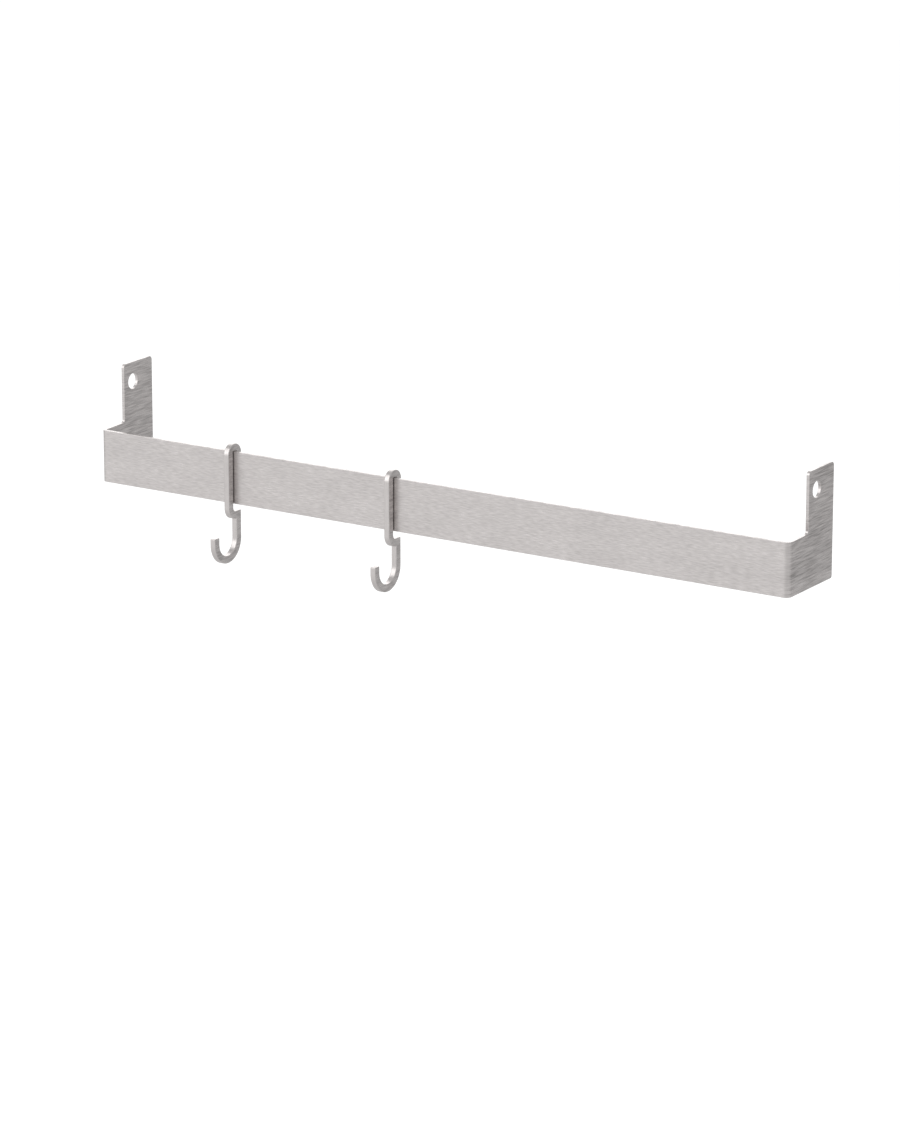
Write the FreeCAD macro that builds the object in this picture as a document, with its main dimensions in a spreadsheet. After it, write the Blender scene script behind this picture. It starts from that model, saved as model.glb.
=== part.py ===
import FreeCAD, Part
import os
import Sketcher

# Wall hook rack: one bent bar of flat steel plate with an upright ear at each end, and two flat-cut
# steel hooks that hang over the bar's top edge and slide along it.
#
# Frame: millimetres, +X along the bar to the right as seen from the front, -Y to the front, +Z up.
# The origin is midway between the two ear holes, on the axis that they share.

DIMENSIONS = [
    # the bar
    ("bar_length", 590, "overall length, outside the returns"),
    ("bar_height", 40, "height of the long front face"),
    ("bar_depth", 63, "front face to the back edge of the ears"),
    ("plate", 2.5, "plate thickness"),
    ("bend_inside", 2, "inside radius of the two bends"),
    ("ear_width", 35.8, "width of an ear, front to back"),
    ("ear_rise", 45, "height of an ear above the front bar"),
    ("ear_corner", 3, "radius of the ear's two top corners"),
    ("low_corner", 2, "radius of the return's lower back corner"),
    ("foot_fillet", 2.5, "radius where the ear rises from the return"),
    ("hole_radius", 6, "radius of the fixing hole in each ear"),
    ("hole_setback", 11.3, "hole centre behind the ear's front edge"),
    ("hole_drop", 15, "hole centre below the ear's top edge"),
    ("cut_margin", 5, "how far a cut runs past the metal"),
    # a hook, seen from its side
    ("hook_width", 4.5, "thickness of the plate that a hook is cut from"),
    ("hook_web", 5.8, "width of the hook's band, seen from its side"),
    ("hook_mouth", 22.4, "clear gap between the tip and the lower leg"),
    ("tip_rise", 5, "straight part of the tip, above the round"),
    ("lower_leg", 15, "round's centre up to the underside of the stub"),
    ("leg_setback", 9.7, "lower leg's front face behind the front leg's"),
    ("neck_hollow", 3.2, "inside radius where the front leg turns back"),
    ("front_leg", 52.2, "underside of the stub up to the inside of the arch"),
    ("slot_width", 5.1, "gap that the bar stands in"),
    ("arch_web", 5.4, "thickness of the half-round arch, above the bar"),
    ("arch_hollow", 0.8, "radius of the slot's two corners under the arch"),
    ("back_leg", 20.6, "inside of the arch down to the end of the back leg"),
    # where the hooks hang
    ("front_gap", 0.7, "gap between the bar's front face and a hook"),
    ("top_gap", 0.3, "gap between the bar's top edge and a hook"),
    ("left_hook_place", -175.85, "middle of the left hook, along the bar from its middle"),
    ("right_hook_place", -34.25, "middle of the right hook, along the bar from its middle"),
]
SIZES = {row[0]: row[1] for row in DIMENSIONS}

START, END, CENTRE = 1, 2, 3        # the points of a sketch element
ZERO = (-1, 1)                      # a sketch's own zero point
LEVEL_AXIS, UPRIGHT_AXIS = -1, -2   # a sketch's own axes
UP = FreeCAD.Vector(0, 0, 1)
LEAST_CUT = 1                       # mm3 of metal that every cut has to take off
NEAR = 0.01                         # mm between an edge and the place where it is looked for
ALONG = 0.99                        # part of an edge's direction that has to run along the bar


def make_sheet(doc):
    """Give every driving dimension a spreadsheet cell of its own."""
    sheet = doc.addObject("Spreadsheet::Sheet", "dims")
    for row, (name, value, meaning) in enumerate(DIMENSIONS, start=1):
        sheet.set(f"A{row}", meaning)
        sheet.set(f"B{row}", str(value))
        sheet.setAlias(f"B{row}", name)
    doc.recompute()


def new_sketch(body, name, plane_role):
    """Add a sketch on one of the body's own origin planes."""
    sketch = body.newObject("Sketcher::SketchObject", name)
    plane = [item for item in body.Origin.OriginFeatures if item.Role == plane_role][0]
    sketch.AttachmentSupport = [(plane, "")]
    sketch.MapMode = "FlatFace"
    return sketch


def tie(sketch, kind, places, value, formula):
    """Give a sketch a distance or a radius, and tie it to the spreadsheet by a formula."""
    index = sketch.addConstraint(Sketcher.Constraint(kind, *places, float(value)))
    sketch.setExpression(f"Constraints[{index}]", formula)


class Outline:
    """A closed outline of level lines, upright lines and arcs, drawn end to end in a sketch."""

    def __init__(self, sketch, start):
        self.sketch = sketch
        self.pen = FreeCAD.Vector(*start, 0)
        self.elements = []          # for each one: its index, where it begins, where it ends, is it an arc

    def constrain(self, kind, *places):
        self.sketch.addConstraint(Sketcher.Constraint(kind, *places))

    def join(self, before, after):
        """Join two elements end to end, smoothly where just one of them is an arc."""
        kind = "Tangent" if before[3] != after[3] else "Coincident"
        self.constrain(kind, before[0], before[2], after[0], after[1])

    def add(self, index, begins, ends, is_arc):
        if self.elements:
            self.join(self.elements[-1], (index, begins, ends, is_arc))
        self.elements.append((index, begins, ends, is_arc))
        return index

    def line(self, level, upright):
        """Draw a level or an upright line to a point and return its index."""
        target = FreeCAD.Vector(level, upright, 0)
        index = self.sketch.addGeometry(Part.LineSegment(self.pen, target), False)
        step = target - self.pen
        self.constrain("Horizontal" if abs(step.y) < abs(step.x) else "Vertical", index)
        self.pen = target
        return self.add(index, START, END, False)

    def arc(self, level, upright, centre, anticlockwise):
        """Draw an arc about a centre to a point and return its index."""
        target = FreeCAD.Vector(level, upright, 0)
        middle = FreeCAD.Vector(*centre, 0)
        circle = Part.Circle(middle, UP, (self.pen - middle).Length)
        angle_here = circle.parameter(self.pen)
        angle_there = circle.parameter(target)
        self.pen = target
        if anticlockwise:
            arc = Part.ArcOfCircle(circle, angle_here, angle_there)
            return self.add(self.sketch.addGeometry(arc, False), START, END, True)
        arc = Part.ArcOfCircle(circle, angle_there, angle_here)
        return self.add(self.sketch.addGeometry(arc, False), END, START, True)

    def close(self):
        self.join(self.elements[-1], self.elements[0])

    def size(self, kind, name, *places):
        """Tie a distance or a radius to a spreadsheet cell."""
        tie(self.sketch, kind, places, SIZES[name], f"dims.{name}")

    def across(self, name, left, right):
        self.size("DistanceX", name, *left, *right)

    def rise(self, name, low, high):
        self.size("DistanceY", name, *low, *high)

    def same_centre(self, first, second):
        self.constrain("Coincident", first, CENTRE, second, CENTRE)


def draw_channel(body):
    """Draw the bent plate as seen from above: a long front with a return at each end."""
    length, depth, plate = SIZES["bar_length"], SIZES["bar_depth"], SIZES["plate"]
    inner = SIZES["bend_inside"]
    outer = inner + plate
    plan = Outline(new_sketch(body, body.Name + "_plan", "XY_Plane"), (0, depth))
    left_face = plan.line(0, outer)
    left_bend = plan.arc(outer, 0, (outer, outer), True)
    front_face = plan.line(length - outer, 0)
    right_bend = plan.arc(length, outer, (length - outer, outer), True)
    right_face = plan.line(length, depth)
    right_end = plan.line(length - plate, depth)
    plan.line(length - plate, outer)
    right_hollow = plan.arc(length - outer, plate, (length - outer, outer), False)
    back_face = plan.line(outer, plate)
    left_hollow = plan.arc(plate, outer, (outer, outer), False)
    plan.line(plate, depth)
    left_end = plan.line(0, depth)
    plan.close()
    plan.constrain("PointOnObject", left_face, START, UPRIGHT_AXIS)
    plan.constrain("PointOnObject", front_face, START, LEVEL_AXIS)
    plan.constrain("Horizontal", left_end, END, right_end, START)
    plan.same_centre(left_bend, left_hollow)
    plan.same_centre(right_bend, right_hollow)
    plan.across("bar_length", (left_face, START), (right_face, END))
    plan.rise("bar_depth", ZERO, (left_end, END))
    plan.rise("plate", (front_face, START), (back_face, END))
    plan.size("Radius", "bend_inside", left_hollow)
    plan.size("Radius", "bend_inside", right_hollow)
    return plan.sketch


def draw_space_over_bar(body):
    """Draw, as seen from the side, what is cut away above the bar and in front of the ears."""
    margin, fillet = SIZES["cut_margin"], SIZES["foot_fillet"]
    floor = SIZES["bar_height"]
    ear_front = SIZES["bar_depth"] - SIZES["ear_width"]
    ceiling = floor + SIZES["ear_rise"] + margin
    side = Outline(new_sketch(body, body.Name + "_space", "YZ_Plane"), (-margin, floor))
    bar_top = side.line(ear_front - fillet, floor)
    foot = side.arc(ear_front, floor + fillet, (ear_front - fillet, floor + fillet), True)
    ear_edge = side.line(ear_front, ceiling)
    side.line(-margin, ceiling)
    before_bar = side.line(-margin, floor)
    side.close()
    side.rise("bar_height", ZERO, (bar_top, START))
    side.across("cut_margin", (before_bar, END), ZERO)
    side.size("Radius", "foot_fillet", foot)
    tie(side.sketch, "DistanceX", (*ZERO, ear_edge, END), ear_front, "dims.bar_depth - dims.ear_width")
    tie(side.sketch, "DistanceY", (bar_top, START, ear_edge, END), ceiling - floor,
        "dims.ear_rise + dims.cut_margin")
    return side.sketch


def draw_ear_hole(body):
    """Draw the fixing hole as seen from the side."""
    sketch = new_sketch(body, body.Name + "_hole_circle", "YZ_Plane")
    back = SIZES["bar_depth"] - SIZES["ear_width"] + SIZES["hole_setback"]
    up = SIZES["bar_height"] + SIZES["ear_rise"] - SIZES["hole_drop"]
    circle = sketch.addGeometry(Part.Circle(FreeCAD.Vector(back, up, 0), UP, SIZES["hole_radius"]), False)
    tie(sketch, "Radius", (circle,), SIZES["hole_radius"], "dims.hole_radius")
    tie(sketch, "DistanceX", (*ZERO, circle, CENTRE), back,
        "dims.bar_depth - dims.ear_width + dims.hole_setback")
    tie(sketch, "DistanceY", (*ZERO, circle, CENTRE), up,
        "dims.bar_height + dims.ear_rise - dims.hole_drop")
    return sketch


def cut_right_through(body, name, sketch):
    """Cut a sketch out of the body, both ways along its normal, and check that metal came off."""
    before = body.Shape.Volume
    pocket = body.newObject("PartDesign::Pocket", name)
    pocket.Profile = sketch
    pocket.Type = "ThroughAll"
    pocket.SideType = "Symmetric"
    body.Document.recompute()
    if body.Shape.Volume > before - LEAST_CUT:
        raise RuntimeError(f"{name} removed nothing")


def edges_along_bar(shape, level, upright):
    """Name the straight edges that run along the bar at one place in its side view."""
    found = []
    for number, edge in enumerate(shape.Edges, start=1):
        middle = edge.CenterOfMass
        at_place = abs(middle.y - level) < NEAR and abs(middle.z - upright) < NEAR
        if at_place and abs(edge.tangentAt(edge.FirstParameter).x) > ALONG:
            found.append(f"Edge{number}")
    return found


def round_corners(body, name, size_name, places):
    """Round the edges that run along the bar at the given places in its side view."""
    base = body.Tip
    edges = [edge for place in places for edge in edges_along_bar(base.Shape, *place)]
    if len(edges) != 2 * len(places):
        raise RuntimeError(f"{name} found {len(edges)} edges")
    fillet = body.newObject("PartDesign::Fillet", name)
    fillet.Base = (base, edges)
    fillet.setExpression("Radius", f"dims.{size_name}")
    body.Document.recompute()


def make_bar(doc):
    """Bend the channel, cut it down to the bar between the ears, round the ears and drill them."""
    body = doc.addObject("PartDesign::Body", "rack_bar")
    body.Label = "rack_bar"
    plan = draw_channel(body)
    pad = body.newObject("PartDesign::Pad", "bent_plate")
    pad.Profile = plan
    pad.setExpression("Length", "dims.bar_height + dims.ear_rise")
    doc.recompute()
    cut_right_through(body, "space_over_bar", draw_space_over_bar(body))
    ear_top = SIZES["bar_height"] + SIZES["ear_rise"]
    ear_front = SIZES["bar_depth"] - SIZES["ear_width"]
    round_corners(body, "ear_corners", "ear_corner", [(ear_front, ear_top), (SIZES["bar_depth"], ear_top)])
    round_corners(body, "low_corners", "low_corner", [(SIZES["bar_depth"], 0)])
    cut_right_through(body, "ear_holes", draw_ear_hole(body))
    body.setExpression("Placement.Base.x", "-dims.bar_length / 2")
    body.setExpression("Placement.Base.y", "dims.ear_width - dims.bar_depth - dims.hole_setback")
    body.setExpression("Placement.Base.z", "dims.hole_drop - dims.bar_height - dims.ear_rise")
    return body


def draw_hook(body):
    """Draw a hook from its side, with its tip's front face and its lowest point on the axes."""
    web, mouth = SIZES["hook_web"], SIZES["hook_mouth"]
    hollow, corner, slot = SIZES["neck_hollow"], SIZES["arch_hollow"], SIZES["slot_width"]
    round_inside = mouth / 2
    round_middle = (web + round_inside, web + round_inside)
    round_height = round_middle[1]
    leg = web + mouth                                   # front face of the lower leg
    front = leg - SIZES["leg_setback"]                  # front face of the front leg
    back = front + web + slot                           # inner face of the back leg
    stub = round_height + SIZES["lower_leg"]            # underside of the stub
    neck_middle = (front + web + hollow, stub + web + hollow)
    roof = stub + SIZES["front_leg"]                    # inside of the arch
    front_corner_middle = (front + web + corner, roof - corner)
    back_corner_middle = (back - corner, roof - corner)
    arch_round = slot / 2 + web                         # outside radius of the arch
    arch_middle = (front + arch_round, roof + SIZES["arch_web"] - arch_round)
    foot = roof - SIZES["back_leg"]
    side = Outline(new_sketch(body, body.Name + "_side", "YZ_Plane"), (back + web, foot))
    # outside, from the end of the back leg over the arch and down to the tip
    side.line(back + web, arch_middle[1])
    arch = side.arc(front, arch_middle[1], arch_middle, True)
    front_face = side.line(front, neck_middle[1])
    neck_outer = side.arc(neck_middle[0], stub, neck_middle, True)
    stub_under = side.line(leg, stub)
    leg_front = side.line(leg, round_height)
    round_inner = side.arc(web, round_height, round_middle, False)
    tip_back = side.line(web, round_height + SIZES["tip_rise"])
    tip_end = side.line(0, round_height + SIZES["tip_rise"])
    tip_front = side.line(0, round_height)
    # back along the outside of the round, up the lower leg and inside the slot
    round_outer = side.arc(leg + web, round_height, round_middle, True)
    side.line(leg + web, stub + web)
    side.line(neck_middle[0], stub + web)
    neck_inner = side.arc(front + web, neck_middle[1], neck_middle, False)
    front_back = side.line(front + web, roof - corner)
    front_corner = side.arc(front + web + corner, roof, front_corner_middle, False)
    arch_under = side.line(back - corner, roof)
    back_corner = side.arc(back, roof - corner, back_corner_middle, False)
    side.line(back, foot)
    back_end = side.line(back + web, foot)
    side.close()
    side.constrain("PointOnObject", tip_front, END, UPRIGHT_AXIS)
    side.constrain("Tangent", round_outer, LEVEL_AXIS)
    side.same_centre(round_inner, round_outer)
    side.same_centre(neck_inner, neck_outer)
    side.across("hook_web", (tip_end, END), (tip_end, START))
    side.across("hook_mouth", (tip_back, START), (leg_front, END))
    side.rise("tip_rise", (round_inner, CENTRE), (tip_end, START))
    side.rise("lower_leg", (round_inner, CENTRE), (stub_under, END))
    side.across("leg_setback", (front_face, END), (leg_front, START))
    side.size("Radius", "neck_hollow", neck_inner)
    side.across("hook_web", (front_face, START), (front_back, START))
    side.rise("front_leg", (stub_under, END), (arch_under, START))
    side.across("slot_width", (front_back, END), (back_end, START))
    side.across("hook_web", (back_end, START), (back_end, END))
    side.size("Radius", "arch_hollow", front_corner)
    side.size("Radius", "arch_hollow", back_corner)
    side.rise("back_leg", (back_end, START), (arch_under, END))
    tie(side.sketch, "DistanceY", (arch, CENTRE, arch_under, START), roof - arch_middle[1],
        "dims.slot_width / 2 + dims.hook_web - dims.arch_web")
    return side.sketch


def make_hook(doc, name, place_name):
    """Cut a hook from plate and hang it over the bar."""
    body = doc.addObject("PartDesign::Body", name)
    body.Label = name
    side = draw_hook(body)
    pad = body.newObject("PartDesign::Pad", name + "_plate")
    pad.Profile = side
    pad.SideType = "Symmetric"
    pad.setExpression("Length", "dims.hook_width")
    reach = "dims.front_gap + 2 * dims.hook_web + dims.hook_mouth - dims.leg_setback"
    bar_front = "dims.bar_depth - dims.ear_width + dims.hole_setback"
    height = "dims.hook_mouth / 2 + dims.hook_web + dims.lower_leg + dims.front_leg"
    body.setExpression("Placement.Base.x", f"dims.{place_name}")
    body.setExpression("Placement.Base.y", f"-({bar_front}) - ({reach})")
    body.setExpression("Placement.Base.z", f"dims.hole_drop - dims.ear_rise + dims.top_gap - ({height})")
    doc.recompute()
    return body


def check(doc, bodies):
    """Stop if anything in the document failed, or if a body is not one sound solid."""
    for item in doc.Objects:
        if {"Invalid", "Error"} & set(item.State):
            raise RuntimeError(f"{item.Name} failed: {item.State}")
    for sketch in doc.findObjects("Sketcher::SketchObject"):
        if sketch.solve() != 0:
            raise RuntimeError(f"{sketch.Name} does not solve")
    for body in bodies:
        shape = body.Shape
        if shape.isNull() or not shape.isValid() or len(shape.Solids) != 1:
            raise RuntimeError(f"{body.Label} is not one valid solid")


def main():
    doc = FreeCAD.newDocument("wall_hook_rack")
    make_sheet(doc)
    bodies = [
        make_bar(doc),
        make_hook(doc, "left_hook", "left_hook_place"),
        make_hook(doc, "right_hook", "right_hook_place"),
    ]
    doc.recompute()
    check(doc, bodies)
    os.makedirs("parts", exist_ok=True)
    for body in bodies:
        body.Shape.exportStep(f"parts/{body.Label}.step")
        box = body.Shape.BoundBox
        print(f"{body.Label}: {body.Shape.Volume:.1f} mm3,"
              f" x {box.XMin:.2f} {box.XMax:.2f}, y {box.YMin:.2f} {box.YMax:.2f}, z {box.ZMin:.2f} {box.ZMax:.2f}")


main()
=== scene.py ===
"""Looks of the wall hook rack: a brushed steel bar with two sliding hooks, lit softly over a pale floor."""

import math

import bpy
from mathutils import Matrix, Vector


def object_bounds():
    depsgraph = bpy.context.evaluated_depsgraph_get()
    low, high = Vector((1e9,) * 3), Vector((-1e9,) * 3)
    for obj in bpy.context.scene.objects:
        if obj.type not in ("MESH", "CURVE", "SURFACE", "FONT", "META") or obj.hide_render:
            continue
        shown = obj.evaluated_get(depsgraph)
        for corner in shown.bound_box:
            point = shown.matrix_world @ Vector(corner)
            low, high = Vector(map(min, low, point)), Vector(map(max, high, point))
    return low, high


MM = 0.001
WHITE = (1.0, 1.0, 1.0, 1.0)

# Camera: the angle, distance and lens of the view, and the point that it looks at, from the frame's origin.
VIEW_AZIMUTH = math.radians(32.536)
VIEW_ELEVATION = math.radians(15.839)
VIEW_DISTANCE = 3.680
LENS = 162.8
SENSOR = 36.0
AIM = Vector((0.0163, -0.0385, -0.0863))

# Edges: the small rounding that every cut edge has.
BAR_EDGE_ROUND = 0.3 * MM
HOOK_EDGE_ROUND = 0.6 * MM
EDGE_SEGMENTS = 3
EDGE_ANGLE = math.radians(50)         # edges sharper than this are rounded
WELD_GAP = 0.005 * MM                 # points closer together than this are joined
FLAT_ANGLE = math.radians(0.05)       # faces that meet at less than this are one face

# Steel: its colour, how rough the brushing leaves it, and how deep the brushing is.
STEEL = (0.644, 0.613, 0.604)
STEEL_ROUGHNESS = 0.34
ROUGHNESS_SWING = 0.5                 # how much smoother the lighter grain is
GRAIN_DEPTH = 0.03 * MM
GRAIN_BUMP = 0.3

# Brushing: each layer of noise has its own number of cells per metre along x, y and z.
BAR_STREAKS = (165, 75, 1300)
BAR_CLOUDS = (25, 25, 60)
HOOK_SIDE_GRAIN = (165, 110, 800)
HOOK_BAND_LINES = (1400, 60, 60)
HOOK_CLOUDS = (90, 120, 160)
FINE_DETAIL = 3.0
COARSE_DETAIL = 2.0
BAR_CLOUD_SHARE = 0.3                 # the clouds' strength beside the grain's
HOOK_CLOUD_SHARE = 0.5
NOISE_SPREAD = (0.3, 0.7)             # most of the noise lies between these

# Contrast of the brushing on faces that look across x and along it, and the normal's x between the two.
FRONT_CONTRAST = 0.13
RETURN_CONTRAST = 0.31
BAND_CONTRAST = 0.05
HOOK_SIDE_CONTRAST = 0.20
TURN_TO_SIDE = (0.8, 0.98)

# Floor: pale, and lit a little from within so that it is white from every side.
FLOOR_DROP = 0.6
FLOOR_SIZE = 80.0
FLOOR_COLOUR = (0.25, 0.25, 0.25, 1.0)
FLOOR_ROUGHNESS = 0.9
FLOOR_GLOW = 0.85

# Surroundings: how strong the light is in front on the left, behind on the right, and overhead.
FRONT_LEFT = Vector((-0.537, -0.843, 0.0))
BACK_RIGHT_LIGHT = 0.47
FRONT_LEFT_LIGHT = 0.90
OVERHEAD_LIGHT = 0.6
OVERHEAD_RISE = (0.1, 0.7)            # a direction's upward share where this light starts and is full

# Softboxes: their place around the rack in degrees, their size and their brightness.
SOFTBOXES = {
    "front_box": {"azimuth": -35, "elevation": 28, "width": 2.6, "height": 2.6, "radiance": 1.12},
    "back_box": {"azimuth": -148, "elevation": 24, "width": 3.2, "height": 2.8, "radiance": 1.08},
}
SOFTBOX_DISTANCE = 3.0


# ---- node helpers ----


def new_material(name):
    """An empty node material with its output and a Principled shader."""
    material = bpy.data.materials.new(name)
    material.use_nodes = True
    nodes = material.node_tree.nodes
    nodes.clear()
    output = nodes.new("ShaderNodeOutputMaterial")
    shader = nodes.new("ShaderNodeBsdfPrincipled")
    material.node_tree.links.new(shader.outputs["BSDF"], output.inputs["Surface"])
    return material, shader


def connect(tree, value, socket):
    """Joins an output to a socket, or sets the socket to a plain value."""
    if isinstance(value, bpy.types.NodeSocket):
        tree.links.new(value, socket)
    else:
        socket.default_value = value


def add(tree, kind, **inputs):
    """A new node, with its named inputs set to a value or joined to a socket."""
    node = tree.nodes.new(kind)
    for name, value in inputs.items():
        connect(tree, value, node.inputs[name.replace("_", " ")])
    return node


def math_node(tree, operation, first, second):
    """One arithmetic step on two values."""
    node = tree.nodes.new("ShaderNodeMath")
    node.operation = operation
    connect(tree, first, node.inputs[0])
    connect(tree, second, node.inputs[1])
    return node.outputs["Value"]


def remap(tree, value, spread, low, high):
    """Stretches the values of a spread to run from low to high, and stops at both."""
    node = add(tree, "ShaderNodeMapRange", Value=value, From_Min=spread[0], From_Max=spread[1])
    node.inputs["To Min"].default_value = low
    node.inputs["To Max"].default_value = high
    return node.outputs["Result"]


def mix(tree, share, first, second):
    """The first value where the share is 0, the second where it is 1."""
    node = add(tree, "ShaderNodeMix", Factor=share)
    connect(tree, first, node.inputs["A"])
    connect(tree, second, node.inputs["B"])
    return node.outputs["Result"]


def layer(tree, place, cells, detail, strength=1.0):
    """A layer of noise from minus to plus its strength, with its own cells per metre along each axis."""
    mapping = add(tree, "ShaderNodeMapping", Vector=place, Scale=cells)
    texture = add(tree, "ShaderNodeTexNoise", Vector=mapping.outputs["Vector"], Scale=1.0, Detail=detail)
    return remap(tree, texture.outputs["Fac"], NOISE_SPREAD, -strength, strength)


def tinted(tree, colour, brightness):
    """A colour made lighter or darker by a value around 1."""
    node = tree.nodes.new("ShaderNodeVectorMath")
    node.operation = "SCALE"
    node.inputs[0].default_value = colour
    connect(tree, brightness, node.inputs["Scale"])
    return node.outputs["Vector"]


def looks_sideways(tree):
    """1 where a face looks along the bar and 0 where it looks across it."""
    normal = tree.nodes.new("ShaderNodeTexCoord").outputs["Normal"]
    along = add(tree, "ShaderNodeSeparateXYZ", Vector=normal).outputs["X"]
    return remap(tree, math_node(tree, "ABSOLUTE", along, 0.0), TURN_TO_SIDE, 0.0, 1.0)


# ---- materials ----


def finish_steel(tree, shader, grain, clouds, contrast):
    """Colour, roughness and bump of brushed steel from its grain, stronger where the contrast is higher."""
    swing = math_node(tree, "MULTIPLY", math_node(tree, "ADD", grain, clouds), contrast)
    colour = tinted(tree, STEEL, math_node(tree, "ADD", swing, 1.0))
    smoother = math_node(tree, "MULTIPLY", swing, ROUGHNESS_SWING)
    rough = math_node(tree, "SUBTRACT", STEEL_ROUGHNESS, smoother)
    bump = add(tree, "ShaderNodeBump", Height=grain, Strength=GRAIN_BUMP, Distance=GRAIN_DEPTH)
    shader.inputs["Metallic"].default_value = 1.0
    connect(tree, colour, shader.inputs["Base Color"])
    connect(tree, rough, shader.inputs["Roughness"])
    connect(tree, bump.outputs["Normal"], shader.inputs["Normal"])


def bar_material():
    """Plate brushed along its length: short level streaks, stronger on the returns and the ears."""
    material, shader = new_material("bar_steel")
    tree = material.node_tree
    place = tree.nodes.new("ShaderNodeTexCoord").outputs["Object"]
    streaks = layer(tree, place, BAR_STREAKS, FINE_DETAIL)
    clouds = layer(tree, place, BAR_CLOUDS, COARSE_DETAIL, BAR_CLOUD_SHARE)
    contrast = mix(tree, looks_sideways(tree), FRONT_CONTRAST, RETURN_CONTRAST)
    finish_steel(tree, shader, streaks, clouds, contrast)
    return material


def hook_material():
    """Plate with level brushing on the hook's two flat sides and fine lines along its cut band."""
    material, shader = new_material("hook_steel")
    tree = material.node_tree
    place = tree.nodes.new("ShaderNodeTexCoord").outputs["Object"]
    side_grain = layer(tree, place, HOOK_SIDE_GRAIN, FINE_DETAIL)
    band_lines = layer(tree, place, HOOK_BAND_LINES, COARSE_DETAIL)
    clouds = layer(tree, place, HOOK_CLOUDS, COARSE_DETAIL, HOOK_CLOUD_SHARE)
    side = looks_sideways(tree)
    grain = mix(tree, side, band_lines, side_grain)
    contrast = mix(tree, side, BAND_CONTRAST, HOOK_SIDE_CONTRAST)
    finish_steel(tree, shader, grain, clouds, contrast)
    return material


def floor_material():
    """A plain pale floor."""
    material, shader = new_material("pale_floor")
    shader.inputs["Base Color"].default_value = FLOOR_COLOUR
    shader.inputs["Roughness"].default_value = FLOOR_ROUGHNESS
    shader.inputs["Emission Color"].default_value = WHITE
    shader.inputs["Emission Strength"].default_value = FLOOR_GLOW
    return material


# ---- shape finish ----


def shade_smooth_group():
    """A modifier group that takes away the mesh's own hard-shaded faces and edges."""
    group = bpy.data.node_groups.new("shade_smooth", "GeometryNodeTree")
    group.interface.new_socket("Geometry", in_out="INPUT", socket_type="NodeSocketGeometry")
    group.interface.new_socket("Geometry", in_out="OUTPUT", socket_type="NodeSocketGeometry")
    last = group.nodes.new("NodeGroupInput").outputs["Geometry"]
    for domain in ("FACE", "EDGE"):
        smooth = group.nodes.new("GeometryNodeSetShadeSmooth")
        smooth.domain = domain
        smooth.inputs["Shade Smooth"].default_value = True
        group.links.new(last, smooth.inputs["Geometry"])
        last = smooth.outputs["Geometry"]
    group.links.new(last, group.nodes.new("NodeGroupOutput").inputs["Geometry"])
    return group


def soften_edges(piece, smooth_group, edge_round):
    """Joins the mesh's faces, rounds its sharp edges a little and shades them smoothly."""
    weld = piece.modifiers.new("weld", "WELD")
    weld.merge_threshold = WELD_GAP
    flat = piece.modifiers.new("flat_faces", "DECIMATE")
    flat.decimate_type = "DISSOLVE"
    flat.angle_limit = FLAT_ANGLE
    bevel = piece.modifiers.new("edge_round", "BEVEL")
    bevel.width = edge_round
    bevel.segments = EDGE_SEGMENTS
    bevel.limit_method = "ANGLE"
    bevel.angle_limit = EDGE_ANGLE
    bevel.use_clamp_overlap = False
    bevel.loop_slide = False
    smooth = piece.modifiers.new("smooth", "NODES")
    smooth.node_group = smooth_group
    normals = piece.modifiers.new("even_normals", "WEIGHTED_NORMAL")
    normals.keep_sharp = False


def finish_pieces(nodes):
    """Gives the bar and the hooks their steel and their rounded edges."""
    smooth_group = shade_smooth_group()
    bar_steel = bar_material()
    hook_steel = hook_material()
    for name, piece in nodes.items():
        is_bar = name == "rack_bar"
        piece.material_slots[0].material = bar_steel if is_bar else hook_steel
        soften_edges(piece, smooth_group, BAR_EDGE_ROUND if is_bar else HOOK_EDGE_ROUND)


# ---- studio ----


def direction(azimuth, elevation):
    """The unit vector toward a place around the rack: azimuth 0 is in front, 90 degrees on the right."""
    level = math.cos(elevation)
    return Vector((math.sin(azimuth) * level, -math.cos(azimuth) * level, math.sin(elevation)))


def make_floor(lowest):
    """A wide pale floor below the rack, out of its reflections."""
    half = FLOOR_SIZE / 2
    corners = [(-half, -half, 0), (half, -half, 0), (half, half, 0), (-half, half, 0)]
    mesh = bpy.data.meshes.new("floor")
    mesh.from_pydata(corners, [], [(0, 1, 2, 3)])
    mesh.materials.append(floor_material())
    floor = bpy.data.objects.new("floor", mesh)
    bpy.context.scene.collection.objects.link(floor)
    floor.location.z = lowest - FLOOR_DROP
    floor.visible_glossy = False
    floor.visible_shadow = False


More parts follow.
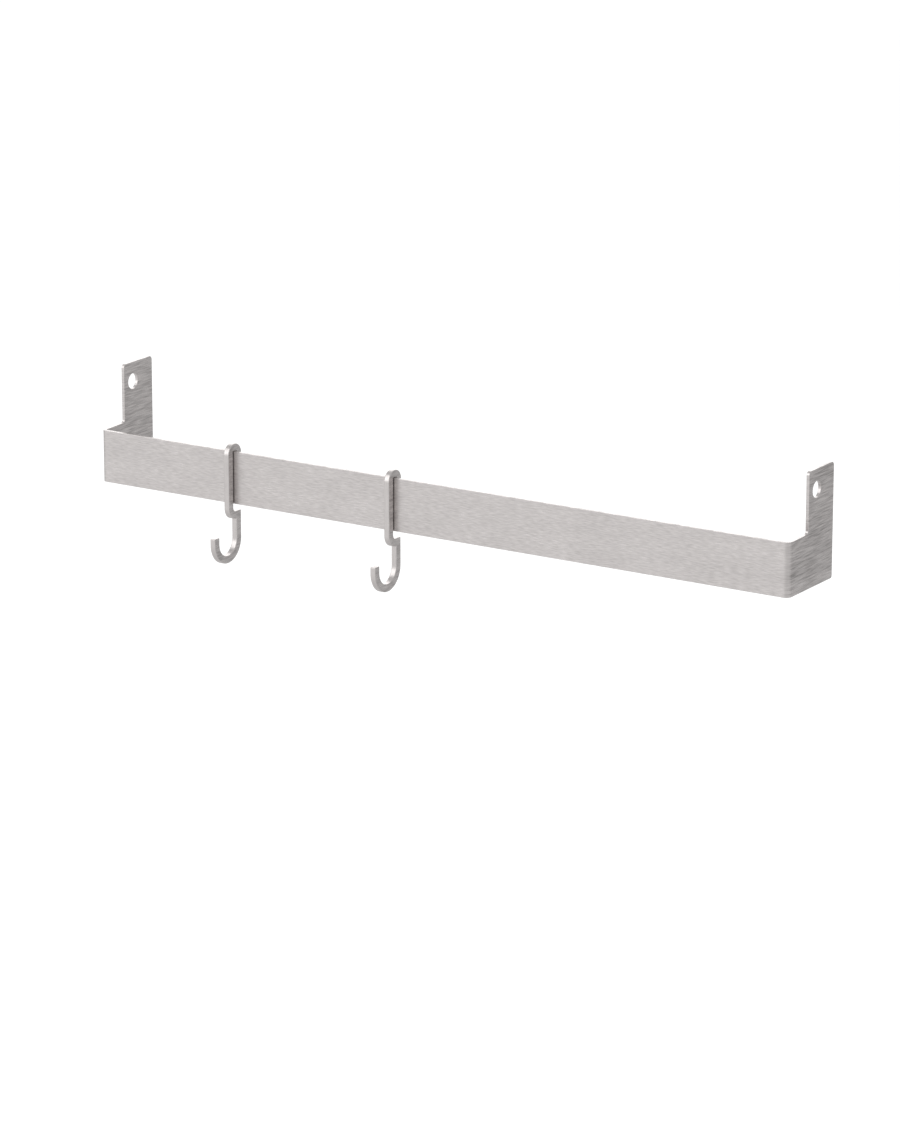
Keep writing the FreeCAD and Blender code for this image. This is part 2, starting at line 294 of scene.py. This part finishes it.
def make_world():
    """Soft surroundings, lighter in front on the left, darker behind on the right, and white to the camera.

    The turn from one side to the other is cubed, so that most directions between them share a middle tone.
    """
    world = bpy.data.worlds.new("studio")
    bpy.context.scene.world = world
    world.use_nodes = True
    tree = world.node_tree
    tree.nodes.clear()
    direction = tree.nodes.new("ShaderNodeTexCoord").outputs["Generated"]
    dot = tree.nodes.new("ShaderNodeVectorMath")
    dot.operation = "DOT_PRODUCT"
    connect(tree, direction, dot.inputs[0])
    dot.inputs[1].default_value = FRONT_LEFT
    toward_left = dot.outputs["Value"]
    square = math_node(tree, "MULTIPLY", toward_left, toward_left)
    cube = math_node(tree, "MULTIPLY", square, toward_left)
    around = remap(tree, cube, (-1.0, 1.0), BACK_RIGHT_LIGHT, FRONT_LEFT_LIGHT)
    height = add(tree, "ShaderNodeSeparateXYZ", Vector=direction).outputs["Z"]
    overhead = remap(tree, height, OVERHEAD_RISE, 0.0, 1.0)
    light = mix(tree, overhead, around, OVERHEAD_LIGHT)
    seen = tree.nodes.new("ShaderNodeLightPath").outputs["Is Camera Ray"]
    strength = math_node(tree, "MAXIMUM", light, seen)
    background = add(tree, "ShaderNodeBackground", Color=WHITE, Strength=strength)
    output = tree.nodes.new("ShaderNodeOutputWorld")
    tree.links.new(background.outputs["Background"], output.inputs["Surface"])


def make_softbox(name, middle, azimuth, elevation, width, height, radiance):
    """A rectangular soft light aimed at the rack's middle, and unseen by the camera."""
    light = bpy.data.lights.new(name, "AREA")
    light.shape = "RECTANGLE"
    light.size = width
    light.size_y = height
    light.energy = radiance * math.pi * width * height
    lamp = bpy.data.objects.new(name, light)
    bpy.context.scene.collection.objects.link(lamp)
    away = direction(math.radians(azimuth), math.radians(elevation))
    lamp.location = middle + away * SOFTBOX_DISTANCE
    lamp.rotation_euler = away.to_track_quat("Z", "Y").to_euler()
    lamp.visible_camera = False


def make_camera():
    """The camera at the view's angle and distance from its aim."""
    data = bpy.data.cameras.new("camera")
    data.lens = LENS
    data.sensor_width = SENSOR
    data.clip_end = FLOOR_SIZE
    camera = bpy.data.objects.new("camera", data)
    bpy.context.scene.collection.objects.link(camera)
    away = direction(VIEW_AZIMUTH, VIEW_ELEVATION)
    camera.location = AIM + away * VIEW_DISTANCE
    camera.rotation_euler = away.to_track_quat("Z", "Y").to_euler()
    bpy.context.scene.camera = camera


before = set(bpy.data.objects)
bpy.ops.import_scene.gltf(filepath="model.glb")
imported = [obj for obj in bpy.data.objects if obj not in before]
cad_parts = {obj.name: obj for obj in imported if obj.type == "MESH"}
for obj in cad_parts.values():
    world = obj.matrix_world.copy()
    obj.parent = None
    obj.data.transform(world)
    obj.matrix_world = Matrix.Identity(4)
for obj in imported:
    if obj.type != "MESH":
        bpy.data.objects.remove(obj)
cad_low, cad_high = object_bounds()
middle = (Vector(cad_low) + Vector(cad_high)) / 2

finish_pieces(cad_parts)
make_floor(cad_low[2])
make_world()
for box_name, settings in SOFTBOXES.items():
    make_softbox(box_name, middle, **settings)
make_camera()
bpy.context.scene.view_settings.view_transform = "Standard"
